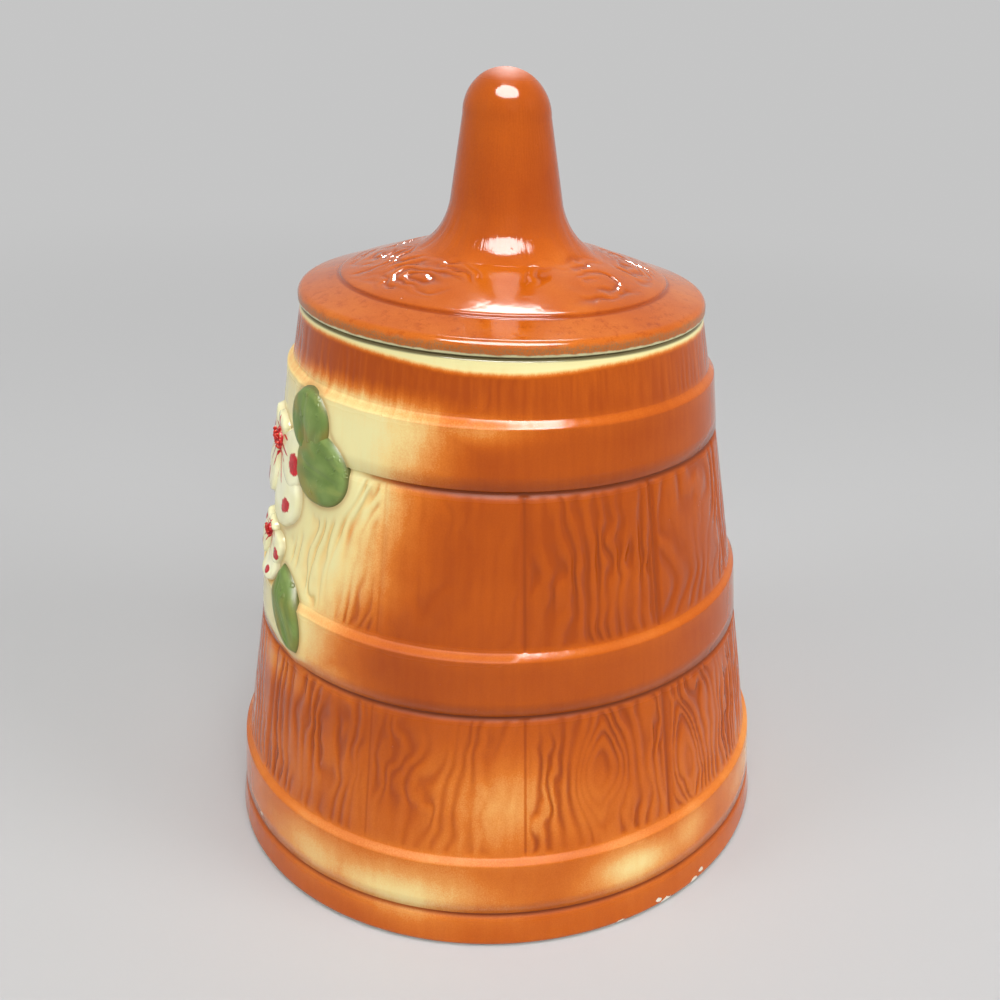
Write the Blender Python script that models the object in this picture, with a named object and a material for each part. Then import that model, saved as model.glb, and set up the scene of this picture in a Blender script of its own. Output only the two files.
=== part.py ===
"""Cookie jar: a slip-cast, glazed jar in the form of a staved butter churn, with its loose lid.

Two fired pieces. The jar body is a bowed, tapering wall with three moulded hoops, the joints of
its eleven staves between them, and a raised spray of blossoms and leaves on the front. The lid is
a hollow casting with a tall knob, and a ring under it that drops into the mouth.

Metres, +Z up. The origin is the centre of the foot. The spray faces -Y.
"""
import math

import bmesh
import bpy

# Jar body: the outside of the staves, before the hoops and the relief
JAR_HEIGHT = 0.1915
BASE_RADIUS = 0.1012
RIM_RADIUS = 0.0658
STAVE_BOW = 0.0009
WALL = 0.0055
FLOOR = 0.0065
FLOOR_FILLET = 0.009
RIM_ROUND = 0.0018
RIM_INNER_ROUND = 0.0009

# Foot: a ring that the jar stands on, round a shallow recess
FOOT_RING_WIDTH = 0.010
FOOT_RECESS = 0.0028
FOOT_EDGE = 0.0020

# Hoops: proud at the top edge, almost flush at the bottom, with a groove under each
HOOP_HEIGHT = 0.0208
HOOP_PROUD_TOP = 0.0016
HOOP_PROUD_FOOT = 0.0003
HOOP_ROUND = 0.0012
GROOVE_WIDTH = 0.0012
GROOVE_DEPTH = 0.0009
LOWER_HOOP = 0.0132
MIDDLE_HOOP = 0.0835
UPPER_HOOP = 0.1538

# Staves: V joints that run from hoop to hoop
STAVES = 11
FIRST_JOINT = math.radians(28.9)
JOINT_WIDTH = 0.0013
JOINT_DEPTH = 0.0010
JOINT_END = 0.0006

# Spray: petals and leaves raised on the wall, thick enough to pass over a hoop
RELIEF_SUNK = 0.0020
PETAL_EDGE = 0.0014
PETAL_CROWN = 0.0026
PETAL_LAP = 0.00025
LEAF_EDGE = 0.0019
LEAF_CROWN = 0.0031
STAMEN_RADIUS = 0.0042
STAMEN_CROWN = 0.0038
HOOP_RAMP = 0.0045

# Lid: rim, stepped disc and knob
LID_OVERHANG = 0.0006
LID_RIM_HEIGHT = 0.0050
LID_RIM_ROUND = 0.0020
LID_SLOPE = 0.0027
LID_WALL = 0.0045
DISC_RADIUS = 0.0530
DISC_STEP = 0.0022
DISC_ROUND = 0.0010
DISC_CROWN = 0.0006
KNOB_FOOT_RADIUS = 0.0280
KNOB_FOOT_RISE = 0.0070
KNOB_BEND_RADIUS = 0.0204
KNOB_BEND_RISE = 0.0040
KNOB_WAIST_RADIUS = 0.0180
KNOB_WAIST_RISE = 0.0140
KNOB_TIP_RADIUS = 0.0138
KNOB_HEIGHT = 0.0707

# Seat: the lid rests on the rim, and its ring drops into the mouth
SEAT_GAP = 0.0003
RING_CLEARANCE = 0.0014
RING_DEPTH = 0.0110
RING_THICKNESS = 0.0040
RING_ROUND = 0.0012

# Facets round the axis, and along an arc
SEGMENTS = 64
ARC_STEPS = 3

# Blossoms: angle from the front, height, size against the largest, direction of the long petal
BLOSSOMS = (
    (18.0, 0.1500, 1.00, -57.0),
    (19.5, 0.1187, 0.63, -76.0),
    (-10.0, 0.1345, 0.92, -125.0),
)

# Petals of the largest blossom: turn from the long one, length and breadth
PETALS = (
    (0.0, 0.0285, 0.0235),
    (49.0, 0.0215, 0.0200),
    (139.0, 0.0085, 0.0125),
    (229.0, 0.0165, 0.0180),
    (300.0, 0.0205, 0.0190),
)

# Leaves: angle from the front, height, half length, half breadth, lean, how pointed the ends are
LEAVES = (
    (35.6, 0.1630, 0.0104, 0.0104, 0.0, 1.0),
    (41.2, 0.1500, 0.0130, 0.0112, 80.0, 1.0),
    (33.9, 0.0995, 0.0146, 0.0074, 30.0, 1.35),
    (-22.0, 0.1600, 0.0128, 0.0082, -30.0, 1.2),
    (-33.0, 0.1400, 0.0125, 0.0088, -75.0, 1.15),
    (-22.0, 0.1060, 0.0140, 0.0080, -150.0, 1.35),
)

HOOPS = (LOWER_HOOP, MIDDLE_HOOP, UPPER_HOOP)


def clear_scene():
    for item in list(bpy.data.objects):
        bpy.data.objects.remove(item, do_unlink=True)


def glaze(name, colour, roughness):
    material = bpy.data.materials.new(name)
    material.use_nodes = True
    shader = material.node_tree.nodes["Principled BSDF"]
    shader.inputs["Base Color"].default_value = (*colour, 1.0)
    shader.inputs["Roughness"].default_value = roughness
    shader.inputs["Metallic"].default_value = 0.0
    return material


def make_object(name, bm, material=None):
    """Closes seams, turns the faces outwards and links the mesh as one object."""
    bmesh.ops.remove_doubles(bm, verts=bm.verts, dist=1e-6)
    bmesh.ops.recalc_face_normals(bm, faces=bm.faces)
    mesh = bpy.data.meshes.new(name)
    bm.to_mesh(mesh)
    bm.free()
    mesh.shade_smooth()
    mesh.set_sharp_from_angle(angle=math.radians(35.0))
    made = bpy.data.objects.new(name, mesh)
    bpy.context.collection.objects.link(made)
    if material:
        mesh.materials.append(material)
    return made


def turned(name, profile, material):
    """Spins a profile of (radius, height) points that starts and ends on the axis."""
    bm = bmesh.new()
    verts = [bm.verts.new((radius, 0.0, height)) for radius, height in profile]
    edges = [bm.edges.new(pair) for pair in zip(verts, verts[1:])]
    bmesh.ops.spin(bm, geom=verts + edges, cent=(0, 0, 0), axis=(0, 0, 1),
                   angle=math.tau, steps=SEGMENTS, use_merge=True)
    return make_object(name, bm, material)


def arc(centre, radii, start, end, steps=ARC_STEPS):
    """Points of an elliptical arc in the profile's plane, angles in degrees."""
    points = []
    for step in range(steps + 1):
        angle = math.radians(start + (end - start) * step / steps)
        points.append((centre[0] + radii[0] * math.cos(angle),
                       centre[1] + radii[1] * math.sin(angle)))
    return points


def stave_radius(height):
    """Outside of the staves: a straight taper with a slight bow."""
    share = height / JAR_HEIGHT
    taper = BASE_RADIUS + (RIM_RADIUS - BASE_RADIUS) * share
    return taper + 4.0 * STAVE_BOW * share * (1.0 - share)


def on_wall(angle, height, proud):
    """A point on the staves, stood out by proud. The angle is from the front towards +X."""
    radius = stave_radius(height) + proud
    return (radius * math.sin(angle), -radius * math.cos(angle), height)


def hoop_lift(height):
    """How far a hoop carries a pad that lies over it, with a ramp down past its upper edge."""
    lift = 0.0
    for bottom in HOOPS:
        up = HOOP_PROUD_TOP * (height - bottom) / HOOP_HEIGHT
        down = HOOP_PROUD_TOP * (bottom + HOOP_HEIGHT + HOOP_RAMP - height) / HOOP_RAMP
        lift = max(lift, min(up, down))
    return lift


def foot_profile():
    ring_inside = stave_radius(0.0) - FOOT_RING_WIDTH
    edge = stave_radius(FOOT_EDGE) - FOOT_EDGE
    under = [(0.0, FOOT_RECESS), (ring_inside - FOOT_RECESS, FOOT_RECESS), (ring_inside, 0.0)]
    return under + arc((edge, FOOT_EDGE), (FOOT_EDGE, FOOT_EDGE), -90.0, 0.0)


def hoop_profile(bottom):
    """Groove, hoop face and rounded upper edge, over the staves."""
    top = bottom + HOOP_HEIGHT
    shoulder = top - HOOP_ROUND
    face = stave_radius(shoulder) + HOOP_PROUD_TOP
    return [
        (stave_radius(bottom - GROOVE_WIDTH), bottom - GROOVE_WIDTH),
        (stave_radius(bottom) - GROOVE_DEPTH, bottom - GROOVE_WIDTH / 2),
        (stave_radius(bottom) + HOOP_PROUD_FOOT, bottom),
        *arc((face - HOOP_ROUND, shoulder), (HOOP_ROUND, HOOP_ROUND), 0.0, 75.0, 2),
        (stave_radius(top), top + HOOP_ROUND / 4),
    ]


def outside_profile():
    profile = foot_profile()
    for number, bottom in enumerate(HOOPS):
        profile += hoop_profile(bottom)
        if number + 1 < len(HOOPS):
            middle = (bottom + HOOP_HEIGHT + HOOPS[number + 1]) / 2
            profile.append((stave_radius(middle), middle))
    edge = stave_radius(JAR_HEIGHT - RIM_ROUND) - RIM_ROUND
    return profile + arc((edge, JAR_HEIGHT - RIM_ROUND), (RIM_ROUND, RIM_ROUND), 0.0, 90.0)


def inside_profile():
    """The mouth, the wall at an even thickness, and a round corner down to the floor."""
    mouth = mouth_radius()
    floor = FOOT_RECESS + FLOOR
    corner = floor + FLOOR_FILLET
    profile = arc((mouth + RIM_INNER_ROUND, JAR_HEIGHT - RIM_INNER_ROUND),
                  (RIM_INNER_ROUND, RIM_INNER_ROUND), 90.0, 180.0, 2)
    for share in (0.75, 0.5, 0.25):
        height = corner + (JAR_HEIGHT - corner) * share
        profile.append((stave_radius(height) - WALL, height))
    inside = stave_radius(corner) - WALL
    profile += arc((inside - FLOOR_FILLET, corner), (FLOOR_FILLET, FLOOR_FILLET), 0.0, -90.0)
    return profile + [(0.0, floor)]


def mouth_radius():
    return stave_radius(JAR_HEIGHT) - WALL


def add_joint(bm, angle, low, high):
    """One V joint: a three-sided bar whose inner edge lies JOINT_DEPTH under the wall."""
    stations = []
    for height in (low, (low + high) / 2, high):
        half = JOINT_WIDTH / stave_radius(height)
        stations.append([
            bm.verts.new(on_wall(angle, height, -JOINT_DEPTH)),
            bm.verts.new(on_wall(angle + half, height, JOINT_DEPTH)),
            bm.verts.new(on_wall(angle - half, height, JOINT_DEPTH)),
        ])
    for below, above in zip(stations, stations[1:]):
        for side in range(3):
            following = (side + 1) % 3
            bm.faces.new((below[side], below[following], above[following], above[side]))
    bm.faces.new(stations[0])
    bm.faces.new(stations[-1][::-1])


def stave_joints():
    """The cutter for every joint, in the two belts between the three hoops."""
    bm = bmesh.new()
    for lower, upper in zip(HOOPS, HOOPS[1:]):
        low = lower + HOOP_HEIGHT + HOOP_ROUND / 4 + JOINT_END
        high = upper - GROOVE_WIDTH - JOINT_END
        for number in range(STAVES):
            add_joint(bm, FIRST_JOINT + math.tau * number / STAVES, low, high)
    return guide(make_object("stave_joint_cutter", bm))


def guide(item):
    item.hide_render = True
    item.display_type = "WIRE"
    return item


def leaf_outline(length, breadth, pointed, count=16):
    """An oval along +v; a power over 1 draws its two ends to a point."""
    points = []
    for number in range(count):
        turn = math.tau * number / count
        across = math.copysign(abs(math.sin(turn)) ** pointed, math.sin(turn))
        points.append((breadth * across, length * math.cos(turn)))
    return points


def petal_outline(length, breadth):
    """A petal from its narrow root, just past the blossom's centre, to its broad round tip."""
    shares = (0.20, 0.45, 0.72, 0.92)
    widths = (0.46, 0.84, 1.0, 0.72)
    right = [(breadth / 2 * width, length * share) for share, width in zip(shares, widths)]
    left = [(-across, along) for across, along in right[::-1]]
    root = (0.0, -0.05 * length)
    return [root, *right, (breadth * 0.18, length * 0.99), (0.0, length),
            (-breadth * 0.18, length * 0.99), *left]


def add_pad(bm, place, turn, outline, edge, crown):
    """A domed pad on the wall. Its outline is in metres round a point of the wall."""
    angle, height = place
    sine, cosine = math.sin(turn), math.cos(turn)
    middle = (sum(u for u, v in outline) / len(outline), sum(v for u, v in outline) / len(outline))

    def wrapped(point, proud):
        u = point[0] * cosine - point[1] * sine
        v = point[0] * sine + point[1] * cosine
        across = angle + u / stave_radius(height)
        return bm.verts.new(on_wall(across, height + v, proud + hoop_lift(height + v)))

    def ring(share, proud):
        drawn_in = [(middle[0] + (u - middle[0]) * share, middle[1] + (v - middle[1]) * share)
                    for u, v in outline]
        return [wrapped(point, proud) for point in drawn_in]

    rings = [ring(1.0, -RELIEF_SUNK), ring(1.0, edge), ring(0.62, edge + (crown - edge) * 0.8)]
    for lower, upper in zip(rings, rings[1:]):
        for number, vert in enumerate(lower):
            following = (number + 1) % len(lower)
            bm.faces.new((vert, lower[following], upper[following], upper[number]))
    for rim, proud in ((rings[0], -RELIEF_SUNK), (rings[-1], crown)):
        centre = wrapped(middle, proud)
        for number, vert in enumerate(rim):
            bm.faces.new((centre, vert, rim[(number + 1) % len(rim)]))


def flower_spray():
    """Every petal, stamen cluster and leaf as its own closed pad, to be united with the wall."""
    bm = bmesh.new()
    for degrees, height, size, first in BLOSSOMS:
        place = (math.radians(degrees), height)
        for number, (offset, length, breadth) in enumerate(PETALS):
            lift = PETAL_LAP * number
            outline = petal_outline(length * size, breadth * size)
            add_pad(bm, place, math.radians(first - 90.0 + offset), outline,
                    PETAL_EDGE + lift, PETAL_CROWN + lift)
        stamens = leaf_outline(STAMEN_RADIUS * size, STAMEN_RADIUS * size, 1.0, 10)
        add_pad(bm, place, 0.0, stamens, PETAL_CROWN, STAMEN_CROWN)
    for degrees, height, length, breadth, lean, pointed in LEAVES:
        outline = leaf_outline(length, breadth, pointed)
        add_pad(bm, (math.radians(degrees), height), math.radians(lean), outline,
                LEAF_EDGE, LEAF_CROWN)
    return guide(make_object("flower_spray_relief", bm))


def make_jar_body(material):
    """The turned wall, less the stave joints, with the spray standing on it."""
    jar_body = turned("jar_body", outside_profile() + inside_profile(), material)
    cut = jar_body.modifiers.new("stave joints", "BOOLEAN")
    cut.operation = "DIFFERENCE"
    cut.object = stave_joints()
    relief = jar_body.modifiers.new("flower spray", "BOOLEAN")
    relief.operation = "UNION"
    relief.object = flower_spray()
    relief.use_self = True
    return jar_body


def bezier(start, control, end, steps=5):
    """Points of a quadratic curve, without its first one."""
    points = []
    for step in range(1, steps + 1):
        t = step / steps
        points.append(tuple((1 - t) ** 2 * a + 2 * t * (1 - t) * b + t * t * c
                            for a, b, c in zip(start, control, end)))
    return points


def crown_profile(inset):
    """Disc, flared foot of the knob, shaft and round end, drawn in by inset for the hollow."""
    disc_edge = LID_RIM_HEIGHT + LID_SLOPE + DISC_STEP
    foot_height = disc_edge + KNOB_FOOT_RISE
    slope = KNOB_FOOT_RISE / (DISC_RADIUS - KNOB_FOOT_RADIUS)
    down = inset * math.hypot(1.0, slope)
    waist = (KNOB_WAIST_RADIUS - inset, foot_height + KNOB_WAIST_RISE)
    foot = (KNOB_FOOT_RADIUS, foot_height - down)
    control = (KNOB_BEND_RADIUS - inset, foot[1] + KNOB_BEND_RISE)
    ball = KNOB_HEIGHT - KNOB_TIP_RADIUS
    tip = KNOB_TIP_RADIUS - inset
    profile = [foot, *bezier(foot, control, waist)]
    return profile + arc((0.0, ball), (tip, tip), 0.0, 90.0, 5)


def lid_outside():
    """Rounded rim, sloping margin and stepped disc, up to the knob. Height 0 is the seat."""
    rim = stave_radius(JAR_HEIGHT) + LID_OVERHANG
    disc_edge = LID_RIM_HEIGHT + LID_SLOPE
    edge = LID_RIM_HEIGHT - LID_RIM_ROUND
    profile = [(rim - LID_OVERHANG, 0.0), (rim, LID_OVERHANG)]
    profile += arc((rim - LID_RIM_ROUND, edge), (LID_RIM_ROUND, LID_RIM_ROUND), 0.0, 80.0)
    profile.append((DISC_RADIUS, disc_edge))
    shoulder = disc_edge + DISC_STEP - DISC_ROUND
    profile += arc((DISC_RADIUS - DISC_ROUND, shoulder), (DISC_ROUND, DISC_ROUND), 0.0, 70.0, 2)
    crown = crown_profile(0.0)
    middle = [(a + b) / 2 for a, b in zip(profile[-1], crown[0])]
    return profile + [(middle[0], middle[1] + DISC_CROWN)] + crown


def lid_inside():
    """The ring that drops into the mouth and the hollow over it, from the knob down."""
    outer = mouth_radius() - RING_CLEARANCE
    inner = outer - RING_THICKNESS
    hollow = crown_profile(LID_WALL)[::-1]
    slope = (hollow[-1][1] - (LID_RIM_HEIGHT + LID_SLOPE - LID_WALL)) / (inner - hollow[-1][0])
    corner = (inner, hollow[-1][1] - slope * (inner - hollow[-1][0]))
    ring = arc((inner + RING_ROUND, -RING_DEPTH + RING_ROUND), (RING_ROUND, RING_ROUND),
               180.0, 270.0, 2)
    ring += arc((outer - RING_ROUND, -RING_DEPTH + RING_ROUND), (RING_ROUND, RING_ROUND),
                270.0, 360.0, 2)
    return hollow + [corner] + ring + [(outer, 0.0)]


def make_lid(material, jar_body):
    """One hollow casting, turned from a single line that runs from the hollow to the knob."""
    hollow_and_ring = lid_inside()
    crown = lid_outside()
    lid = turned("lid", hollow_and_ring + crown, material)
    lid.parent = jar_body
    lid.location = (0.0, 0.0, JAR_HEIGHT + SEAT_GAP)
    return lid


clear_scene()
orange_glaze = glaze("orange_glaze", (0.46, 0.085, 0.008), 0.16)
lid_glaze = glaze("lid_glaze", (0.50, 0.095, 0.010), 0.18)
make_lid(lid_glaze, make_jar_body(orange_glaze))
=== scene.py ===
"""The looks of a glazed cookie jar in the form of a staved butter churn.

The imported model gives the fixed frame: jar body and lid. Here each gets its moulded wood grain,
its sprayed glaze and, on the jar, the painted spray of blossoms and leaves. Metres, +Z up.
"""
import functools
import math
import random

import bmesh
import bpy
import numpy as np
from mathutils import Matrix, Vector


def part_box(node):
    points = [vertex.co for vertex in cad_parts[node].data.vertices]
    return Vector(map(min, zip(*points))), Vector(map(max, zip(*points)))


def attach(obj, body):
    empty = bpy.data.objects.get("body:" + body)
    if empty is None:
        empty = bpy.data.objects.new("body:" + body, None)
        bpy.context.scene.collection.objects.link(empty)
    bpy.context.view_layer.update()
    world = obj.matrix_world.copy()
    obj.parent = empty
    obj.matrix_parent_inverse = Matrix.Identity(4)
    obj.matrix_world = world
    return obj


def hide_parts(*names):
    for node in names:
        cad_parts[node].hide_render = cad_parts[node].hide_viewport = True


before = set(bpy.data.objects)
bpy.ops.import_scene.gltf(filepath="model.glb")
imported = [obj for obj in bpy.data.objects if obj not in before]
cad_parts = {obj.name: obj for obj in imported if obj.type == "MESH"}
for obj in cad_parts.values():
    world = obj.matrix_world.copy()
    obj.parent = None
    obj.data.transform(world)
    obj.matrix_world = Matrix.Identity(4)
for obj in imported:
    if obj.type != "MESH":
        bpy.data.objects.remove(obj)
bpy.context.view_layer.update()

# The jar wall
# A slip-cast wall in the form of eleven staves held by three hoops. The mould leaves V joints
# between the staves, wood grain on them, a bevel on top of each hoop and a groove below.

JAR_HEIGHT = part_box("jar_body")[1].z
BASE_RADIUS = 0.1012
RIM_RADIUS = 0.0658
STAVE_BOW = 0.0009
WALL = 0.0055
FLOOR = 0.0065
FLOOR_FILLET = 0.009
RIM_ROUND = 0.0018
RIM_INNER_ROUND = 0.0009
FOOT_RING_WIDTH = 0.01
FOOT_RECESS = 0.0028
FOOT_EDGE = 0.002
HOOPS = (0.0132, 0.0835, 0.1538)
HOOP_HEIGHT = 0.0208
HOOP_PROUD_TOP = 0.0016
HOOP_PROUD_FOOT = 0.0003
HOOP_BEVEL = 0.0023
HOOP_RAMP = 0.0045
GROOVE_WIDTH = 0.0012
GROOVE_DEPTH = 0.0009
GROOVE_EASE = 0.42
STAVES = 11
FIRST_JOINT = math.radians(28.9)
STAVE_TURN = math.tau / STAVES
JOINT_WIDTH = 0.0036
JOINT_DEPTH = 0.0011
STAVE_COLUMNS = 48
MIDDLE_RADIUS = 0.083
BELT_ROW = 0.0015
FACE_ROW = 0.005
EDGE_ROW = 0.00025
INSIDE_ROW = 0.03
RIM_DEPTH = 0.006

# How the grain runs on a stave of a belt: where its heart line lies across the stave, the height
# of its knot in the belt, how far the knot pushes the lines out, over what length, how deep the
# lines are, how far they lean and how wide apart they lie
GRAIN = {
    (0, 1): (-0.42, 0.3, 0.002, 0.03, 1.0, 0.17, 0.78),
    (1, 1): (-0.15, 0.6, 0.003, 0.02, 0.22, 0.0, 1.3),
    (2, 1): (0.24, 0.28, 0.008, 0.034, 1.0, 0.05, 1.1),
    (3, 1): (-0.62, 0.4, 0.001, 0.03, 0.6, 0.0, 1.4),
    (0, 0): (0.55, 0.5, 0.004, 0.025, 1.0, 0.08, 1.0),
    (1, 0): (-0.5, 0.5, 0.004, 0.03, 0.55, 0.0, 1.0),
    (2, 0): (0.0, 0.53, 0.012, 0.014, 1.0, 0.0, 0.9),
    (3, 0): (-0.34, 0.35, 0.011, 0.016, 1.0, -0.12, 0.85),
}
# The limits that chance keeps to on the other staves
GRAIN_LIMITS = ((-0.6, 0.6), (0.25, 0.75), (0.001, 0.01), (0.012, 0.03), (0.3, 1.0),
                (-0.15, 0.15), (0.9, 1.4))
KNOT_WIDTH = 0.01
HEART_WIDTH = 0.0012
RIM_BELT = 2

# How firm a joint of a belt is, where it isn't left to chance: some are nearly filled with glaze
FIRM_JOINTS = {(1, 1): 0.15, (1, 0): 0.15, (2, 1): 0.55, (2, 0): 0.3, (3, 1): 1.0, (3, 0): 1.0}
RIM_STRENGTH = 0.28


def stave_radius(height):
    share = height / JAR_HEIGHT
    taper = BASE_RADIUS + (RIM_RADIUS - BASE_RADIUS) * share
    return taper + 4.0 * STAVE_BOW * share * (1.0 - share)


def stations(start, end, spacing):
    """Evenly spaced values from the start up to, but without, the end."""
    count = max(1, round((end - start) / spacing))
    return [start + (end - start) * step / count for step in range(count)]


def arc(centre, radius, start, end, steps):
    turns = [math.radians(start + (end - start) * step / steps) for step in range(steps + 1)]
    return [(centre[0] + radius * math.cos(turn), centre[1] + radius * math.sin(turn))
            for turn in turns]


def hoop_stand(height):
    """How far the hoops stand out of the staves at a height, and the groove under each."""
    stand = 0.0
    for bottom in HOOPS:
        top = bottom + HOOP_HEIGHT
        share = (height - bottom) / (HOOP_HEIGHT - HOOP_BEVEL)
        face = HOOP_PROUD_FOOT + (HOOP_PROUD_TOP - HOOP_PROUD_FOOT) * share
        past = max(0.0, (height - top + HOOP_BEVEL) / HOOP_BEVEL)
        if bottom <= height <= top:
            stand = face * (1.0 - past)
        away = (height - bottom + GROOVE_WIDTH / 2) / (GROOVE_WIDTH / 2)
        away *= 1.0 if away > 0.0 else GROOVE_EASE
        stand -= GROOVE_DEPTH * math.exp(-away * away)
    return stand


def wall_profile():
    """Points (radius, height) from under the foot, up the outside and down the inside."""
    ring_inside = stave_radius(0.0) - FOOT_RING_WIDTH
    profile = [(0.0, FOOT_RECESS), (ring_inside * 0.6, FOOT_RECESS),
               (ring_inside - FOOT_RECESS, FOOT_RECESS), (ring_inside, 0.0)]
    profile += arc((stave_radius(FOOT_EDGE) - FOOT_EDGE, FOOT_EDGE), FOOT_EDGE, -90, 0, 5)
    starts = [bottom - 2 * GROOVE_WIDTH for bottom in HOOPS] + [JAR_HEIGHT - RIM_ROUND]
    heights = stations(FOOT_EDGE + 0.0008, starts[0], BELT_ROW)
    for bottom, start, following in zip(HOOPS, starts, starts[1:]):
        foot, top = bottom + EDGE_ROW, bottom + HOOP_HEIGHT + EDGE_ROW
        bevel = top - HOOP_BEVEL - 3 * EDGE_ROW
        heights += stations(start, foot, EDGE_ROW * 1.3) + stations(foot, bevel, FACE_ROW)
        heights += stations(bevel, top, EDGE_ROW) + stations(top, following, BELT_ROW)
    profile += [(stave_radius(height) + hoop_stand(height), height) for height in heights]
    edge = stave_radius(JAR_HEIGHT - RIM_ROUND) - RIM_ROUND
    profile += arc((edge, JAR_HEIGHT - RIM_ROUND), RIM_ROUND, 0, 90, 6)
    mouth = stave_radius(JAR_HEIGHT) - WALL
    profile += arc((mouth + RIM_INNER_ROUND, JAR_HEIGHT - RIM_INNER_ROUND), RIM_INNER_ROUND,
                   90, 180, 4)
    floor = FOOT_RECESS + FLOOR
    corner = floor + FLOOR_FILLET
    profile += [(stave_radius(height) - WALL, height)
                for height in stations(JAR_HEIGHT - RIM_DEPTH, corner, -INSIDE_ROW)]
    inside = stave_radius(corner) - WALL
    profile += arc((inside - FLOOR_FILLET, corner), FLOOR_FILLET, 0, -90, 5)
    return profile + [(inside * 0.5, floor), (0.0, floor)]


def ring_faces(rings, columns, first, last):
    """Faces between closed rings of points, with fans to a point before and a point after them."""
    near = np.arange(rings * columns).reshape(rings, columns)
    far = np.roll(near, -1, 1)
    quads = np.stack([near[:-1], far[:-1], far[1:], near[1:]], 2).reshape(-1, 4).tolist()
    under = [(first, b, a) for a, b in zip(near[0].tolist(), far[0].tolist())]
    over = [(last, a, b) for a, b in zip(near[-1].tolist(), far[-1].tolist())]
    return quads + under + over


def spun_mesh(name, profile, turns):
    """A closed mesh round the axis. The profile starts and ends on it, turns are its columns."""
    radius, height = np.array(profile[1:-1]).T
    rings, columns = len(radius), len(turns)
    x = np.outer(radius, np.sin(turns))
    y = -np.outer(radius, np.cos(turns))
    z = np.repeat(height[:, None], columns, 1)
    points = np.stack([x, y, z], 2).reshape(-1, 3).tolist()
    points += [(0.0, 0.0, profile[end][1]) for end in (0, -1)]
    faces = ring_faces(rings, columns, rings * columns, rings * columns + 1)
    mesh = bpy.data.meshes.new(name)
    mesh.from_pydata(points, [], faces)
    mesh.shade_smooth()
    return mesh


def keep_values(mesh, **values):
    """Stores numbers for each point under their names, for the node trees and the glazes."""
    for title, numbers in values.items():
        kept = mesh.attributes.new(title, "FLOAT", "POINT")
        kept.data.foreach_set("value", np.asarray(numbers, float))


def places_of(mesh):
    """Angle from the front, radius and height of every point."""
    points = np.empty(len(mesh.vertices) * 3)
    mesh.vertices.foreach_get("co", points)
    x, y, z = points.reshape(-1, 3).T
    return np.arctan2(x, -y), np.hypot(x, y), z


def smooth_step(low, high, value):
    share = np.clip((value - low) / (high - low), 0.0, 1.0)
    return share * share * (3.0 - 2.0 * share)


def within(rise, fall, value):
    """1 between a soft rise and a soft fall, 0 beyond them."""
    return smooth_step(*rise, value) * smooth_step(*fall, value)


def belt_limits(belt):
    """Lowest and highest point of the staves that show in a belt: 0 low, 1 high, 2 the rim."""
    low = HOOPS[belt] + HOOP_HEIGHT
    high = HOOPS[belt + 1] - GROOVE_WIDTH if belt + 1 < len(HOOPS) else JAR_HEIGHT - RIM_ROUND
    return low, high


# Where the flower spray lies on the wall. Its outlines come first, because the grain of the staves
# stops short of it. Blossoms: angle from the front, height, size against the largest, and the
# direction of the long petal.
RELIEF_SUNK = 0.0015
PETAL_EDGE = 0.0014
PETAL_CROWN = 0.0026
PETAL_LAP = 0.00025
LEAF_EDGE = 0.0019
LEAF_CROWN = 0.0031
BLOSSOMS = (
    (18.0, 0.15, 1.00, -57.0),
    (19.5, 0.119, 0.59, -76.0),
    (-10.0, 0.1345, 0.92, -125.0),
)

# Petals of the largest blossom: turn from the long one, length, breadth, and the red brush mark:
# its place across and along, its half width and half length as shares of the petal
PETALS = (
    (0.0, 0.0285, 0.0235, (-0.15, 0.78, 0.28, 0.085)),
    (49.0, 0.0215, 0.02, (0.03, 0.8, 0.36, 0.17)),
    (139.0, 0.0085, 0.0125, (0.0, 0.55, 0.1, 0.4)),
    (231.0, 0.0132, 0.017, (0.05, 0.74, 0.28, 0.15)),
    (300.0, 0.0205, 0.019, (-0.1, 0.78, 0.22, 0.13)),
)
BOSS_RADIUS = 0.0042
BOSS_RISE = 0.0008
NO_MARK = (0.0, 0.0, 1.0, 1.0)
FAR_FROM_SPRAY = 0.03

# Leaves: angle from the front, height, half length, half breadth, lean, how pointed the ends are
LEAVES = (
    (35.6, 0.163, 0.0104, 0.0104, 0.0, 1.0),
    (41.2, 0.15, 0.013, 0.0112, 80.0, 1.0),
    (33.9, 0.0995, 0.0146, 0.0074, 30.0, 1.35),
    (-22.0, 0.16, 0.0128, 0.0082, -30.0, 1.2),
    (-33.0, 0.14, 0.0125, 0.0088, -75.0, 1.15),
    (-22.0, 0.106, 0.014, 0.008, -150.0, 1.35),
)


def smooth_loop(points, steps):
    """A closed smooth curve through the points, with an even number of steps between them."""
    before, here, after, beyond = (np.roll(points, back, 0) for back in (1, 0, -1, -2))
    way = (np.arange(steps) / steps)[:, None, None]
    curve = 0.5 * (2 * here + (after - before) * way
                   + (2 * before - 5 * here + 4 * after - beyond) * way ** 2
                   + (3 * here - before - 3 * after + beyond) * way ** 3)
    return curve.swapaxes(0, 1).reshape(-1, 2)


def petal_outline(length, breadth):
    shares = (0.2, 0.45, 0.72, 0.92)
    widths = (0.46, 0.84, 1.0, 0.72)
    right = [(breadth / 2 * width, length * share) for share, width in zip(shares, widths)]
    left = [(-across, along) for across, along in right[::-1]]
    tip = [(breadth * 0.18, length * 0.99), (0.0, length), (-breadth * 0.18, length * 0.99)]
    return smooth_loop([(0.0, -0.05 * length), *right, *tip, *left], 8)


def leaf_outline(length, breadth, pointed):
    turns = np.arange(96) * math.tau / 96
    across = np.sign(np.sin(turns)) * np.abs(np.sin(turns)) ** pointed
    return np.stack([breadth * across, length * np.cos(turns)], 1)


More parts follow.
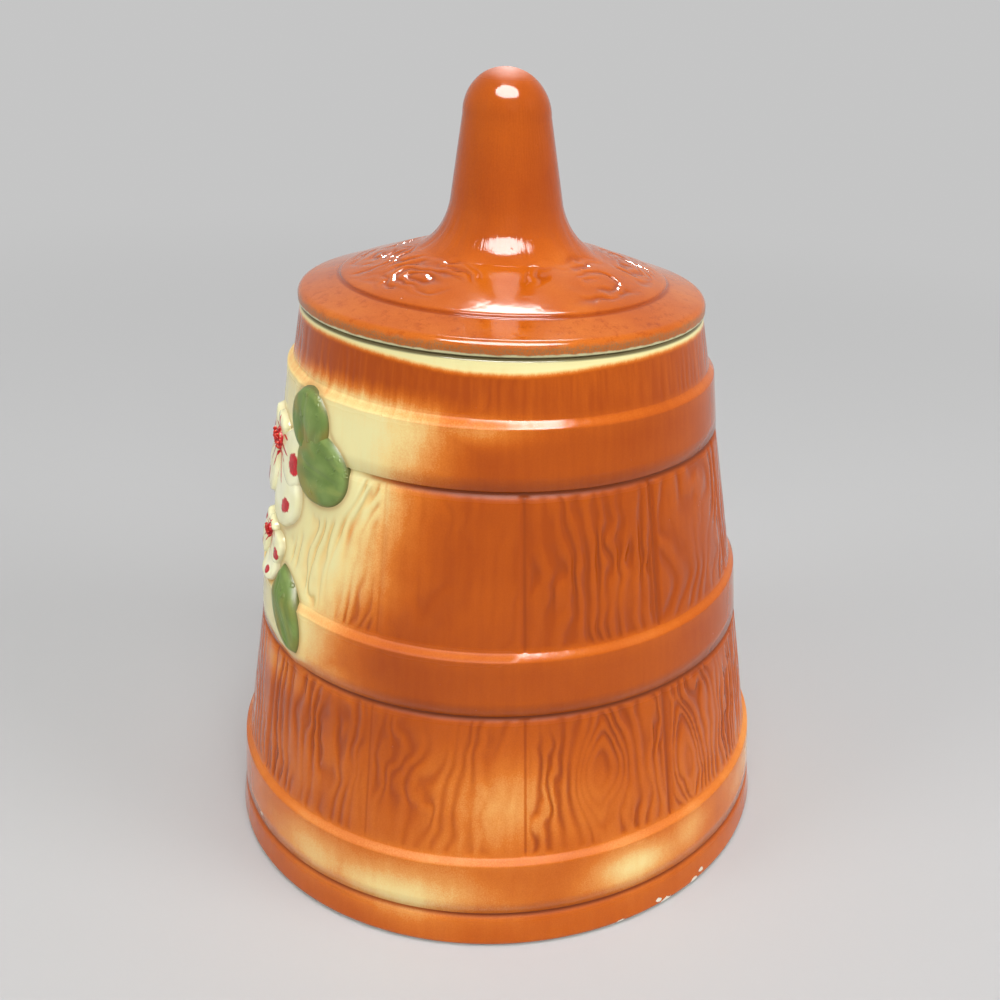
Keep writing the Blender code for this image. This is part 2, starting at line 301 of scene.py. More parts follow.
def pads():
    """All pads: kind, place, turn, outline, height at edge and crown, length, breadth, mark."""
    for degrees, height, size, first in BLOSSOMS:
        place = (math.radians(degrees), height)
        for number, (offset, length, breadth, mark) in enumerate(PETALS):
            length, breadth, lift = length * size, breadth * size, PETAL_LAP * number
            yield ("petal", place, math.radians(first - 90.0 + offset),
                   petal_outline(length, breadth), PETAL_EDGE + lift, PETAL_CROWN + lift,
                   length, breadth / 2, mark)
        boss = BOSS_RADIUS * size
        yield ("boss", place, 0.0, leaf_outline(boss, boss, 1.0), PETAL_CROWN,
               PETAL_CROWN + BOSS_RISE, boss, boss, NO_MARK)
    for degrees, height, length, breadth, lean, pointed in LEAVES:
        yield ("leaf", (math.radians(degrees), height), math.radians(lean),
               leaf_outline(length, breadth, pointed), LEAF_EDGE, LEAF_CROWN, length, breadth,
               NO_MARK)


def gap_to_spray(turn, height):
    """How far a place on the wall is from the nearest petal or leaf, below 0 where it is under."""
    gap = np.full(len(turn), FAR_FROM_SPRAY)
    for _, (angle, level), lean, outline, *_ in pads():
        middle = outline.mean(0)
        u = (turn - angle) * stave_radius(level)
        v = height - level
        across = u * math.cos(lean) + v * math.sin(lean) - middle[0]
        along = v * math.cos(lean) - u * math.sin(lean) - middle[1]
        edge = outline - middle
        edge_turn = np.arctan2(edge[:, 1], edge[:, 0])
        order = np.argsort(edge_turn)
        reach = np.interp(np.arctan2(along, across), edge_turn[order],
                          np.hypot(edge[:, 0], edge[:, 1])[order], period=math.tau)
        gap = np.minimum(gap, np.hypot(across, along) - reach)
    return gap


def mark_grain(mesh):
    """Stores, for every point, its distance from the heart line, the knot's push and the depth."""
    turn, radius, height = places_of(mesh)
    outside = radius > stave_radius(height) - WALL / 2
    from_joint = (turn - FIRST_JOINT) % STAVE_TURN
    stave, nearest = (whole((turn - FIRST_JOINT) / STAVE_TURN).astype(int) % STAVES
                      for whole in (np.floor, np.round))
    heart, knot, strength, cell, firm, belts = np.zeros((6, len(turn)))
    chance = random.Random(11)
    for belt in range(len(HOOPS)):
        low, high = belt_limits(belt)
        ends = within((low, low + 0.002), (high, high - 0.002), height)
        if belt < RIM_BELT:
            belts += within((low, low + 0.0006), (high, high - 0.0006), height)
        for number in range(STAVES):
            guess = [chance.uniform(*limits) for limits in GRAIN_LIMITS]
            across, up, push, length, depth, lean, coarse = GRAIN.get((number, belt), guess)
            firmness = FIRM_JOINTS.get((number, belt), chance.uniform(0.3, 1.0))
            firm[(nearest == number) & (ends > 0.0)] = firmness
            here = outside & (stave == number) & (ends > 0.0)
            above = (height - low - (high - low) * up)[here]
            aside = (from_joint[here] - STAVE_TURN * (0.5 + across)) * radius[here] - lean * above
            push *= np.exp(-(above / length) ** 2 - (aside / KNOT_WIDTH) ** 2)
            heart[here] = aside / coarse
            knot[here] = push / coarse
            strength[here] = depth * (RIM_STRENGTH if belt == RIM_BELT else 1.0) * ends[here]
            cell[here] = number + STAVES * belt
    gap = np.where(outside, gap_to_spray(turn, height), FAR_FROM_SPRAY)
    clear = smooth_step(0.0022, 0.0065, gap)
    keep_values(mesh, gap=gap, heart=heart, knot=knot, grain_depth=strength * clear, cell=cell,
                belt=belts * outside * clear, firm=firm)


def stave_turns():
    """Columns of the wall: crowded at each joint, so that its V is cut clean, even between."""
    half = JOINT_WIDTH / 2 / MIDDLE_RADIUS
    joint = [half * share for share in (-1.0, -0.5, 0.0, 0.5, 1.0)]
    rest = STAVE_COLUMNS - len(joint)
    gap = (STAVE_TURN - 2 * half) / (rest + 1)
    plain = [half + gap * (step + 1) for step in range(rest)]
    return [FIRST_JOINT + STAVE_TURN * number + turn
            for number in range(STAVES) for turn in joint + plain]


class Field:
    """A value in a node tree, so that what the nodes work out reads as a formula."""

    def __init__(self, tree, socket):
        self.tree = tree
        self.socket = socket

    def math(self, operation, *others):
        return node(self.tree, "ShaderNodeMath", dict(enumerate((self, *others))),
                    operation=operation)

    def less_from(self, value):
        """The value less this field."""
        return self * -1.0 + value

    def bell(self, middle, width):
        """1 at the middle, with a soft fall to both sides."""
        return (((self - middle) / width) ** 2.0 * -1.0).exponent()

    def waves(self, power):
        """Ridges from 0 to 1 with their crests at whole numbers, narrower for a higher power."""
        return ((self * math.tau).cosine() * 0.5 + 0.5) ** power

    def step(self, low, high):
        """A smooth rise from 0 at low to 1 at high, or a fall where high is the lower."""
        ends = (0.0, 1.0) if low < high else (1.0, 0.0)
        return node(self.tree, "ShaderNodeMapRange", {
            "Value": self, "From Min": min(low, high), "From Max": max(low, high),
            "To Min": ends[0], "To Max": ends[1],
        }, "Result", interpolation_type="SMOOTHSTEP")


# What a formula of fields is written with, and the math node's operation for each
SIGNS = {"__add__": "ADD", "__sub__": "SUBTRACT", "__mul__": "MULTIPLY", "__truediv__": "DIVIDE",
         "__pow__": "POWER"}
WORDS = ("MAXIMUM", "MINIMUM", "SMOOTH_MIN", "COSINE", "SINE", "ARCTAN2", "EXPONENT", "SQRT",
         "ABSOLUTE", "FRACT")
for title, operation in (*SIGNS.items(), *((word.lower(), word) for word in WORDS)):
    setattr(Field, title, functools.partialmethod(Field.math, operation))


def feed(slot, value):
    """Links a field to an input, or sets the input to a plain value."""
    if isinstance(value, Field):
        value.tree.links.new(value.socket, slot)
    else:
        slot.default_value = value


def node(tree, kind, inputs=None, output=0, **settings):
    """Adds a node with its settings, feeds its inputs by name or number, gives one output."""
    made = tree.nodes.new(kind)
    for title, value in settings.items():
        setattr(made, title, value)
    for slot, value in (inputs or {}).items():
        feed(made.inputs[slot], value)
    return Field(tree, made.outputs[output])


def vector(x, y, z):
    return node(x.tree, "ShaderNodeCombineXYZ", {0: x, 1: y, 2: z})


def parts_of(place):
    split = node(place.tree, "ShaderNodeSeparateXYZ", {0: place}).socket.node
    return [Field(place.tree, output) for output in split.outputs]


def around_axis(place):
    """x, y and z of a place, its angle from the front and its distance from the axis."""
    x, y, z = parts_of(place)
    return x, y, z, x.arctan2(y * -1.0), (x * x + y * y).sqrt()


def joint_distance(turn, radius, first=FIRST_JOINT, staves=STAVES):
    """How far a place on the wall is from the nearest joint between staves."""
    share = ((turn - first) * staves / math.tau).fract()
    return share.minimum(share.less_from(1.0)) * radius * math.tau / staves


def noise(place, scale, detail=2.0, roughness=0.5):
    return node(place.tree, "ShaderNodeTexNoise", {
        "Vector": place, "Scale": scale, "Detail": detail, "Roughness": roughness})


def new_tree(name, kind, inputs):
    """A node group with named number inputs, each with its first value, and the fields of all."""
    tree = bpy.data.node_groups.new(name, kind)
    if kind == "GeometryNodeTree":
        tree.is_modifier = True
        for end in ("INPUT", "OUTPUT"):
            tree.interface.new_socket("Geometry", in_out=end, socket_type="NodeSocketGeometry")
    for title, value in inputs.items():
        tree.interface.new_socket(title, in_out="INPUT", socket_type="NodeSocketFloat")
        tree.interface.items_tree[title].default_value = value
    source = tree.nodes.new("NodeGroupInput")
    return tree, {socket.name: Field(tree, socket) for socket in source.outputs if socket.name}


def stored(tree, *titles):
    """The numbers kept for each point, in a geometry tree."""
    return [node(tree, "GeometryNodeInputNamedAttribute", {"Name": title}, "Attribute",
                 data_type="FLOAT") for title in titles]


def store(geometry, **values):
    for title, value in values.items():
        geometry = node(geometry.tree, "GeometryNodeStoreNamedAttribute", {
            "Geometry": geometry, "Name": title, "Value": value,
        }, data_type="FLOAT", domain="POINT")
    return geometry


def shift(geometry, offset):
    return node(geometry.tree, "GeometryNodeSetPosition", {"Geometry": geometry, "Offset": offset})


def finish_tree(geometry, material):
    """Realises instances, sets the material and joins the tree's output."""
    tree = geometry.tree
    real = node(tree, "GeometryNodeRealizeInstances", {"Geometry": geometry})
    ready = node(tree, "GeometryNodeSetMaterial", {"Geometry": real, "Material": material})
    feed(tree.nodes.new("NodeGroupOutput").inputs["Geometry"], ready)
    return tree


def added(name, data):
    """A new object in the scene."""
    new = bpy.data.objects.new(name, data)
    bpy.context.collection.objects.link(new)
    return new


def made_by(tree, name, mesh, values=None):
    """Runs a geometry tree on a mesh and keeps the result as a plain object."""
    made = added(name, mesh)
    modifier = made.modifiers.new(tree.name, "NODES")
    modifier.node_group = tree
    for title, value in (values or {}).items():
        modifier[tree.interface.items_tree[title].identifier] = value
    depsgraph = bpy.context.evaluated_depsgraph_get()
    result = bpy.data.meshes.new_from_object(made.evaluated_get(depsgraph),
                                             preserve_all_data_layers=True, depsgraph=depsgraph)
    made.modifiers.clear()
    made.data = result
    result.shade_smooth()
    return made


def stave_carving(material):
    """V joints round the wall, and grain that runs round the knot of each stave."""
    tree, size = new_tree("stave_carving", "GeometryNodeTree", {
        "Staves": float(STAVES), "First Joint": FIRST_JOINT, "Joint Width": JOINT_WIDTH,
        "Joint Depth": JOINT_DEPTH, "Grain Pitch": 0.005, "Grain Depth": 0.00062,
        "Wander": 0.01, "Ground Lift": 0.00035, "Seed": 3.0,
    })
    belt, firm, heart, cell, knot, grain_depth, gap, outside = stored(
        tree, "belt", "firm", "heart", "cell", "knot", "grain_depth", "gap", "outside")
    x, y, z, turn, radius = around_axis(node(tree, "GeometryNodeInputPosition"))
    from_joint = joint_distance(turn, radius, size["First Joint"], size["Staves"])
    joint = (from_joint / size["Joint Width"] * 2.0).step(1.0, 0.0) * belt * (firm * 0.6 + 0.4)
    cell = cell * 5.3 + size["Seed"]
    drift = noise(vector(heart * 0.6, z * 0.55, cell), 45.0, 1.5) - 0.5
    ripple = noise(vector(heart, z * 0.5, cell + 20.0), 150.0, 1.0) - 0.5
    line = heart + drift * size["Wander"] * 2.0
    spread = (line * line + HEART_WIDTH ** 2).sqrt()
    phase = (spread - knot + drift * size["Wander"]) / size["Grain Pitch"]
    uneven = noise(vector(phase * 0.35, z * 14.0, cell), 1.0, 1.0) - 0.5
    wild = noise(vector(heart, z * 0.7, cell + 60.0), 60.0, 1.0).step(0.42, 0.62)
    phase = phase + uneven * 2.2 + ripple * (wild * 1.8 + 0.5)
    patchy = noise(vector(heart * 0.7, z * 0.4, cell + 40.0), 70.0, 1.0)
    depth = (patchy.step(0.34, 0.62) * 0.85 + 0.15) * grain_depth * from_joint.step(0.001, 0.0028)
    sink = phase.waves(1.3) * depth * size["Grain Depth"] + joint * size["Joint Depth"]
    inward = (sink - gap.step(0.0052, 0.003) * outside * size["Ground Lift"]) * -1.0 / radius
    geometry = store(size["Geometry"], grain_phase=phase, grain_cut=depth, joint_cut=joint)
    return finish_tree(shift(geometry, vector(x * inward, y * inward, 0.0)), material)


def light_of(colour):
    """The light values of a colour written as on a screen, 0 to 255. A field stays as it is."""
    if isinstance(colour, Field):
        return colour
    shares = [value / 255.0 for value in colour]
    linear = [share / 12.92 if share <= 0.04045 else ((share + 0.055) / 1.055) ** 2.4
              for share in shares]
    return (*linear, 1.0)


def object_place(tree):
    return node(tree, "ShaderNodeTexCoord", output="Object")


def new_material(name):
    """A material, its node tree and the place on the object that its patterns follow."""
    material = bpy.data.materials.new(name)
    material.use_nodes = True
    return material, material.node_tree, object_place(material.node_tree)


def painted(tree, *titles):
    """The numbers kept for each point, in a material."""
    return [node(tree, "ShaderNodeAttribute", output="Fac", attribute_name=title)
            for title in titles]


def blend(share, first, second):
    """A mix of two colours, which go in at a Mix node's sockets 6 and 7 and come out at 2."""
    return node(share.tree, "ShaderNodeMix", {0: share, 6: first, 7: second}, 2, data_type="RGBA")


def layered(first, *layers):
    """Colours laid one over the other, each with the share that it covers."""
    for share, colour in layers:
        first = blend(share, light_of(first), light_of(colour))
    return first


def group_node(tree, group, **values):
    """Places a node group, feeds its inputs by name and gives all its outputs."""
    inputs = {title.replace("_", " "): value for title, value in values.items()}
    placed = node(tree, "ShaderNodeGroup", inputs, node_tree=group).socket.node
    return {output.name: Field(tree, output) for output in placed.outputs}


def end_group(tree, **results):
    """Adds a group's outputs: its colour, and numbers such as masks, heights and roughness."""
    end = tree.nodes.new("NodeGroupOutput")
    for title, value in results.items():
        kind = "NodeSocketColor" if title == "Color" else "NodeSocketFloat"
        tree.interface.new_socket(title, in_out="OUTPUT", socket_type=kind)
        feed(end.inputs[title], value)
    return tree


# The colour of the glaze by its thickness, from bare clay to the thickest
GLAZE_STOPS = ((0.0, (238, 228, 166)), (0.16, (242, 212, 140)), (0.4, (230, 156, 80)),
               (0.6, (212, 114, 32)), (0.82, (190, 88, 6)), (1.0, (166, 69, 0)))
GROOVE_BROWN = (92, 38, 4)


def sprayed_glaze_group():
    """Glaze over clay: from bare cream through yellow-orange to burnt orange as it gets thicker."""
    tree, value = new_tree("sprayed_glaze", "ShaderNodeTree", {"Spray": 1.0, "Groove": 0.0})
    spray, groove, place = value["Spray"], value["Groove"], object_place(tree)
    fine = noise(place, 2100.0) - 0.5
    cloud = noise(place, 38.0, 3.0) - 0.5
    between = spray * spray.less_from(1.0) * 4.0
    thickness = spray + fine * (between * 0.22 + 0.04) + cloud * (between * 0.3 + 0.14)
    thickness = thickness + groove * (between * 0.3 + 0.36)
    colour = node(tree, "ShaderNodeValToRGB", {0: thickness})
    elements = colour.socket.node.color_ramp.elements
    while len(elements) < len(GLAZE_STOPS):
        elements.new(0.5)
    for element, (position, stop) in zip(elements, GLAZE_STOPS):
        element.position = position
        element.color = light_of(stop)
    return end_group(tree, Color=layered(colour, (groove * (spray * 0.22 + 0.04), GROOVE_BROWN)))


def glaze_skin_group():
    """The surface of a fired glaze: a slow unevenness and pinholes."""
    tree, value = new_tree("glaze_skin", "ShaderNodeTree", {"Unevenness": 1.0})
    place = object_place(tree)
    slow = noise(place, 160.0) - 0.5
    pores = node(tree, "ShaderNodeTexVoronoi", {"Scale": 210.0, "Vector": place}, "Distance")
    pit = pores.step(0.1, 0.03) * noise(place, 60.0, 1.0).step(0.56, 0.66)
    return end_group(tree, Height=slow * value["Unevenness"] * 0.5 - pit,
                     Roughness=slow * 0.1 + pit * 0.3 + 0.1)


GLAZE_IOR = 1.38
GLAZE_RELIEF = 0.0006
# Painted shade for the seam where the lid sits on the jar's rim
SEAM_SHADE = (78, 62, 38)
sprayed_glaze = sprayed_glaze_group()
glaze_skin = glaze_skin_group()


def fired(material, colour, unevenness=1.0, dull=0.0, skin_share=0.0, relief=0.0):
    """Gives a material its colour and the gloss of fired glaze, duller or in relief in places."""
    tree = material.node_tree
    shader = tree.nodes["Principled BSDF"].inputs
    skin = group_node(tree, glaze_skin, Unevenness=unevenness)
    height = skin["Height"] * skin_share + relief
    shader["IOR"].default_value = GLAZE_IOR
    feed(shader["Base Color"], colour)
    feed(shader["Roughness"], skin["Roughness"] + dull)
    feed(shader["Normal"], node(tree, "ShaderNodeBump", {
        "Strength": 1.0, "Distance": GLAZE_RELIEF, "Height": height}, "Normal"))
    return material


# Where the spray gun left the clay pale: angle from the front, height, half width in degrees,
# half height, and how pale
PALE = (
    (81.0, 0.1718, 13.0, 0.0042, 0.5),
    (30.0, 0.077, 16.0, 0.007, 0.45),
    (89.5, 0.053, 15.0, 0.0165, 0.42),
    (48.0, 0.056, 16.0, 0.016, 0.16),
    (49.0, 0.0205, 15.0, 0.011, 0.48),
    (68.0, 0.0185, 16.0, 0.0105, 0.62),
    (84.0, 0.015, 12.0, 0.008, 0.16),
    (117.0, 0.0225, 10.0, 0.0085, 0.55),
    (132.0, 0.025, 8.0, 0.008, 0.25),
    (45.0, 0.087, 14.0, 0.008, 0.55),
    (170.0, 0.025, 18.0, 0.01, 0.5),
    (205.0, 0.06, 12.0, 0.018, 0.4),
    (245.0, 0.02, 20.0, 0.01, 0.5),
    (300.0, 0.018, 16.0, 0.009, 0.5),
)
# Where the upper edge of a hoop stayed dull, by the same four measures
DULL = ((64.0, 0.1735, 17.0, 0.007), (70.0, 0.1032, 21.0, 0.007))
# The spray gun was kept off the blossoms: the middle and the half turn of the bare field at its
# lowest, how fast it widens upwards, and the heights that it lies between
BARE_CENTRE = math.radians(4.0)
BARE_TURN = math.radians(42.3)
BARE_WIDENS = 5.2
BARE_LOW = 0.085
BARE_HIGH = 0.1756


def spot(turn, height, degrees, level, width, tall):
    """Square of the distance from the middle of a spot on the wall: 1 at its half width."""
    apart = ((turn - math.radians(degrees)) * 0.5).sine() * (2.0 / math.radians(width))
    up = (height - level) / tall
    return apart * apart + up * up


def wall_spray(turn, height):
    """How thick the orange was sprayed: none round the blossoms and at the rim, thin in places."""
    ragged = noise(object_place(turn.tree), 55.0, 3.0) - 0.5
    streaks = noise(vector(turn * 4.0, height * 6.0, 0.0), 9.0) - 0.5
    # The bare field round the blossoms, wider upwards
    limit = (height - BARE_LOW - 0.008) * BARE_WIDENS + BARE_TURN
    aside = (turn - BARE_CENTRE).absolute() - limit
    pale = (aside + ragged * 0.2).step(0.36, -0.22)
    pale = pale * (height + streaks * 0.002).step(BARE_HIGH + 0.0064, BARE_HIGH - 0.0038)
    pale = pale * (height + ragged * 0.004).step(BARE_LOW - 0.0018, BARE_LOW + 0.0016)
    # The pale places, and the rim where the glaze drew back
    for *where, how in PALE:
        pale = pale.maximum((spot(turn, height, *where) * -1.0 + ragged * 0.6).exponent() * how)
    widest = turn.bell(math.radians(88.0), 0.42)
    rim = height + streaks * 0.0012 + widest * 0.0024 + ragged * 0.001
    pale = pale.maximum(rim.step(JAR_HEIGHT - 0.0036, JAR_HEIGHT - 0.0008))
    # Thinner low down, paler towards the far right, with streaks that run below the rim
    base = height.step(0.1, 0.015) * (height.step(0.011, 0.015) * 0.12 + 0.11)
    base = base + (turn - math.radians(125.0)).cosine().step(0.2, 1.0) * 0.07
    running = height.step(JAR_HEIGHT - 0.03, JAR_HEIGHT - 0.008) * 0.22 + 0.1
    return (pale.less_from(1.0) - base + streaks * running).maximum(0.0)


# Chips along the foot: angle from the front, height, half width in degrees, half height
CHIPS = (
    (133.0, 0.0016, 1.0, 0.0011),
    (135.4, 0.0036, 0.8, 0.0008),
    (131.0, 0.0005, 0.9, 0.0007),
    (124.8, 0.0012, 1.4, 0.0014),
    (122.8, 0.003, 0.8, 0.0008),
    (113.6, 0.0014, 0.9, 0.0006),
    (112.0, 0.0004, 0.7, 0.0006),
    (103.5, 0.0004, 0.8, 0.0005),
    (66.0, 0.0006, 0.7, 0.0005),
    (29.5, 0.0156, 0.7, 0.0006),
    (201.0, 0.001, 1.2, 0.0009),
    (287.0, 0.0012, 1.0, 0.0009),
)


def chips(turn, height):
    """Where the glaze is knocked off: a ragged spot round each place."""
    ragged = noise(object_place(turn.tree), 900.0, 3.0, 0.65) - 0.5
    bare = height * 0.0
    for where in CHIPS:
        bare = bare.maximum((spot(turn, height, *where) + ragged * 3.0).step(1.1, 0.7))
    return bare


# Pooled glaze with painted shade in the groove under each hoop
GROOVE_GLAZE_AND_SHADE = (70, 28, 4)
RELIEF_SHADE = (172, 118, 58)
CLAY = (233, 224, 205)


def jar_glaze():
    material, tree, place = new_material("jar_glaze")
    _, _, z, turn, radius = around_axis(place)
    phase, cut, joint, belt, firm, edge, recess, lip, outside, gap = painted(
        tree, "grain_phase", "grain_cut", "joint_cut", "belt", "firm", "edge", "recess", "lip",
        "outside", "gap")
    # Thick dark glaze in the grain and along the joints, where they aren't filled. The groove under
    # each hoop has it too, darkened further as painted shade
    groove = phase.waves(1.8) * cut
    filled = noise(vector(turn * 2.0, z * 26.0, 0.0), 1.0, 1.0).step(0.6, 0.3)
    line = (joint_distance(turn, radius) / 0.0006).step(1.0, 0.3)
    line = line * belt * firm * filled.less_from(1.3)
    spray = wall_spray(turn, z)
    spray = (spray - edge * (spray * 0.42 - 0.2)) * outside
    recess = recess * gap.step(0.001, 0.01)
    dark = (groove * 0.5 + joint * firm * 0.45 + line * 0.9 + recess * 0.6).minimum(1.0)
    glaze = group_node(tree, sprayed_glaze, Spray=spray, Groove=dark * outside)
    # A brown line round each petal and leaf, gathered glaze with painted shade, painted shade in
    # the seam under the lid, and bare clay
    shade = gap.bell(0.0004, 0.0009) * 0.36 + gap.step(0.005, 0.0) * 0.12
    # Painted shade in the seam under the lid, along the top of the rim
    seam_shade = z.step(JAR_HEIGHT - 0.0011, JAR_HEIGHT - 0.0005)
    bare = z.step(0.0012, 0.0004).maximum(chips(turn, z) * outside)
    colour = layered(glaze["Color"], (recess * (spray * 0.25 + 0.4), GROOVE_GLAZE_AND_SHADE),
                     (shade * outside, RELIEF_SHADE), (seam_shade * outside * 0.8, SEAM_SHADE), (bare, CLAY))
    # Dull where the glaze is thin on the edge of a hoop
    ragged = noise(place, 240.0) - 0.5
    thin = spray.step(0.8, 0.4)
    for where in DULL:
        thin = thin.maximum((spot(turn, z, *where) + ragged * 0.7).step(1.35, 0.9))
    dull = bare * 0.5 + lip * 0.45 + edge * 0.04 + thin * edge * 0.85
    return fired(material, colour, dull=dull, skin_share=edge * 0.5 + 0.12,
                 relief=groove * -0.75 - bare * 0.6)


def jar_wall():
    """The wall with the edges of its hoops and the grooves under them marked for the glaze."""
    mesh = spun_mesh("jar_wall", wall_profile(), stave_turns())
    mark_grain(mesh)
    _, radius, height = places_of(mesh)
    outside = (radius > stave_radius(height) - WALL * 0.6) & (height > 0.0002)
    edge, recess, lip = np.zeros((3, len(height)))
    for bottom in HOOPS:
        past = height - bottom - HOOP_HEIGHT + HOOP_BEVEL / 2
        deep = height - bottom + GROOVE_WIDTH / 2
        edge += np.exp(-(past / 0.0014) ** 2)
        recess += np.exp(-(deep / np.where(deep > 0.0, 0.0006, 0.0009)) ** 2)
        lip += np.exp(-((deep + 0.0013) / 0.0013) ** 2)
    keep_values(mesh, edge=edge * outside, recess=recess * outside, lip=lip * outside,
                outside=outside)
    return made_by(stave_carving(jar_glaze()), "jar_wall", mesh)


wall = jar_wall()
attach(wall, "jar")
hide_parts("jar_body")

# The flower spray
# Three blossoms and six leaves, cast on the wall in low relief and painted by hand under the clear
# glaze: cream petals with red brush marks, green leaves. Stamens are a cluster of small beads.

STAMEN_SPREAD = 0.0036
STAMEN_BEADS = 21
STAMEN_BEAD = 0.00055
SUNFLOWER_TURN = math.radians(137.508)
PAD_RINGS = 16
PAD_ROUND = 0.001
PAD_LOW = 0.0006
PAD_FOOT = [(1.03, -RELIEF_SUNK), (1.02, 0.0001), (1.0, 0.0005)]
LEAF_STALK = 1.3
LEAF_FOLDS = 10.0
LEAF_FOLD_START = 1.5


def hoop_lift(height):
    """How far a hoop carries a pad that lies over it, with a ramp down past its upper edge."""
    lift = 0.0
    for bottom in HOOPS:
        up = HOOP_PROUD_TOP * (height - bottom) / HOOP_HEIGHT
        down = HOOP_PROUD_TOP * (bottom + HOOP_HEIGHT + HOOP_RAMP - height) / HOOP_RAMP
        lift = max(lift, min(up, down))
    return lift


def draped(height):
    """The same with its edges rounded, as the clay of a leaf rounds them."""
    reach = (-0.0016, -0.0008, 0.0, 0.0008, 0.0016)
    return sum(hoop_lift(height + away) for away in reach) / len(reach)


def on_wall(place, turn, points, proud):
    """Lays points of a pad's own plane on the wall, stood out of the staves by proud."""
    angle, height = place
    u = points[:, 0] * math.cos(turn) - points[:, 1] * math.sin(turn)
    v = points[:, 0] * math.sin(turn) + points[:, 1] * math.cos(turn)
    around = angle + u / stave_radius(height)
    over = np.array([draped(level) for level in height + v])
    radius = stave_radius(height + v) + proud + over
    return np.stack([radius * np.sin(around), -radius * np.cos(around), height + v], 1)


def petal_form(across, along, out):
    """How a petal departs from a plain dome: cupped along the middle, with faint folds."""
    cup = -0.0006 * np.exp(-(across / 0.42) ** 2) * within((0.0, 0.25), (1.0, 0.55), along)
    folds = 0.0001 * np.cos(across * 7.5 + 0.6) * smooth_step(0.25, 0.8, along)
    return (cup + folds) * smooth_step(1.0, 0.75, out)


def leaf_form(across, along, out):
    """How a leaf departs from a plain dome: a midrib and folds that fan out from its stalk."""
    midrib = -0.0003 * np.exp(-(across / 0.09) ** 2)
    fan = np.arctan2(across, along + LEAF_STALK)
    folds = -0.00024 * (0.5 + 0.5 * np.cos(fan * LEAF_FOLDS + LEAF_FOLD_START)) ** 3
    swell = 0.00022 * np.sin(along * 4.0 + across * 3.0)
    return (midrib + folds + swell) * smooth_step(0.95, 0.6, out)


FORMS = {"petal": petal_form, "leaf": leaf_form}


def pad_mesh(kind, place, turn, outline, edge, crown, length, breadth, mark):
    """Points, faces and the marks of one pad, in rings from its sunk base to its crown."""
    middle = outline.mean(0)
    rings, rounding = PAD_FOOT[:], PAD_ROUND / breadth
    for step in range(PAD_RINGS):
        share = 1.0 - (step / PAD_RINGS) ** 0.8
        rise = math.sqrt(max(0.0, 1.0 - max(0.0, 1.0 - (1.0 - share) / rounding) ** 2))
        dome = (1.0 - share ** 2) ** 0.85
        rings.append((share * 0.995, PAD_LOW + (edge - PAD_LOW) * rise + (crown - edge) * dome))
    points, marks = [], []
    for share, proud in [*rings, (0.0, crown), (0.0, -RELIEF_SUNK)]:
        flat = middle + (outline - middle) * share if share > 0.0 else middle[None, :]
        across, along = flat[:, 0] / breadth, flat[:, 1] / length
        out = np.full(len(flat), share)
        lift = FORMS[kind](across, along, out) if kind in FORMS and proud > PAD_LOW else 0.0
        points.append(on_wall(place, turn, flat, proud + lift))
        off_mark = ((across - mark[0]) / mark[2]) ** 2 + ((along - mark[1]) / mark[3]) ** 2
        marks.append(np.stack([across, along, out, off_mark], 1))
    top = len(rings) * len(outline)
    return (np.concatenate(points), ring_faces(len(rings), len(outline), top + 1, top),
            np.concatenate(marks))


def relief(name, wanted, material):
    """All pads of one kind as one object, with their marks stored for the painted glaze."""
    points, faces, marks = zip(*(pad_mesh(*pad) for pad in pads() if pad[0] == wanted))
    counts = [len(own) for own in points]
    starts = np.cumsum([0, *counts]).tolist()
    mesh = bpy.data.meshes.new(name)
    mesh.from_pydata(np.concatenate(points).tolist(), [],
                     [[start + corner for corner in face]
                      for start, own in zip(starts, faces) for face in own])
    across, along, share, off_mark = np.concatenate(marks).T
    keep_values(mesh, across=across, along=along, share=share, off_mark=off_mark,
                number=np.repeat(np.arange(len(counts)), counts))
    bm = bmesh.new()
    bm.from_mesh(mesh)
    bmesh.ops.recalc_face_normals(bm, faces=bm.faces)
    bm.to_mesh(mesh)
    bm.free()
    mesh.shade_smooth()
    mesh.materials.append(material)
    made = added(name, mesh)
    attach(made, "jar")


def brush_mark_group():
    """The outline of a brush mark: ragged, from a value that is 1 at its plain edge."""
    tree, value = new_tree("brush_mark", "ShaderNodeTree", {"Off Mark": 0.0})
    ragged = noise(object_place(tree), 420.0, 3.0, 0.7) - 0.5
    return end_group(tree, Mask=(value["Off Mark"] + ragged * 1.7).step(1.15, 0.75))


brush_mark = brush_mark_group()


def stroke(across, along, aside, reach):
    """A thin brush stroke up a petal from its root, aside of its middle."""
    off = (across - aside - along * aside * 1.2) / 0.05
    up = (along - reach * 0.7) / (reach * 0.42)
    return group_node(across.tree, brush_mark, Off_Mark=off * off + up * up)["Mask"]


CREAM = (246, 244, 206)
DEEP_CREAM = (240, 236, 186)
# Painted shade at the rim of each petal
PETAL_RIM = (176, 132, 78)
PETAL_ROOT = (208, 168, 92)
BRUSH_RED = (212, 20, 32)
DEEP_RED = (184, 0, 18)


